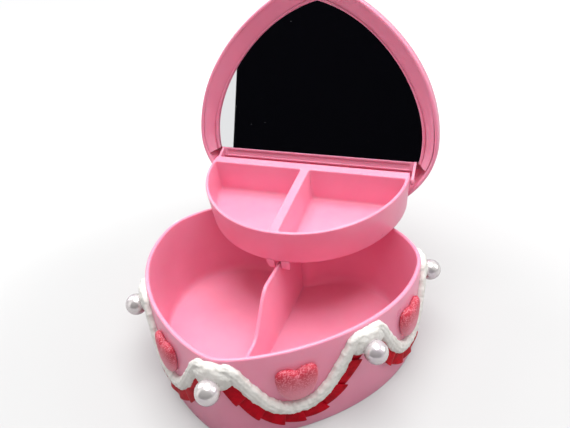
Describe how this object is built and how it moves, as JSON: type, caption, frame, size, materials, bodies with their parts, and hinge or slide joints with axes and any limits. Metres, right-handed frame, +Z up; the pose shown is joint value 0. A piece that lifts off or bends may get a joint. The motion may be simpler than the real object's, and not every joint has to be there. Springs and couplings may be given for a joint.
{
  "type": "heart-shaped trinket box",
  "caption": "Heart-shaped hinged trinket box with a mirrored lid, a tray that swings on lid ears, a stepped divider and piped swag, pearl and sugar-heart trim.",
  "frame": {"origin": "middle of the tub's underside, on the surface it stands on", "axes": "+Z up, the heart's tip towards -Y, the lobes and the lid's hinges towards +Y, +X to the right seen from the tip"},
  "size_m": [0.1716, 0.1921, 0.1779],
  "materials": {
    "pink_plastic": "satin moulded, slightly translucent",
    "mirror": "silvered glass",
    "pad_foam": "matt foam tape",
    "pin_steel": "drawn wire",
    "white_piping": "set whipped paste",
    "red_ruffle": "satin ribbon",
    "sugar": "sugared",
    "pearl": "pearlescent coat"
  },
  "bodies": {
    "box": {"tub": "pink_plastic", "divider": "pink_plastic", "hinge_pin_left": "pin_steel", "hinge_pin_right": "pin_steel", "piping_front_left": "white_piping", "piping_front_right": "white_piping", "piping_side_left": "white_piping", "piping_side_right": "white_piping", "piping_back_left": "white_piping", "piping_back_right": "white_piping", "ruffle_front_left": "red_ruffle", "ruffle_front_right": "red_ruffle", "ruffle_side_left": "red_ruffle", "ruffle_side_right": "red_ruffle", "ruffle_back_left": "red_ruffle", "ruffle_back_right": "red_ruffle", "sugar_heart_front_left": "sugar", "sugar_heart_front_right": "sugar", "sugar_heart_side_left": "sugar", "sugar_heart_side_right": "sugar", "sugar_heart_back_left": "sugar", "sugar_heart_back_right": "sugar", "pearl_tip": "pearl", "pearl_front_left": "pearl", "pearl_front_right": "pearl", "pearl_side_left": "pearl", "pearl_side_right": "pearl", "pearl_back_left": "pearl", "pearl_back_right": "pearl"},
    "lid": {"lid_shell": "pink_plastic", "mirror_frame": "pink_plastic", "mirror_glass": "mirror", "mirror_pads": "pad_foam", "tray_bracket": "pink_plastic"},
    "tray": {"tray": "pink_plastic"}
  },
  "joints": [
    {"name": "lid_hinge", "type": "hinge", "parent": "box", "child": "lid", "pos_m": [0, 0.0675, 0.0459], "axis": [1, 0, 0], "range_deg": [0, 100.6]},
    {"name": "tray_pivot", "type": "hinge", "parent": "lid", "child": "tray", "pos_m": [0, 0.0753, 0.07018], "axis": [1, 0, 0], "range_deg": [-110.1, 0]}
  ],
  "couplings": [
    {"joint": "tray_pivot", "follows": "lid_hinge", "ratio": -1.0934}
  ]
}
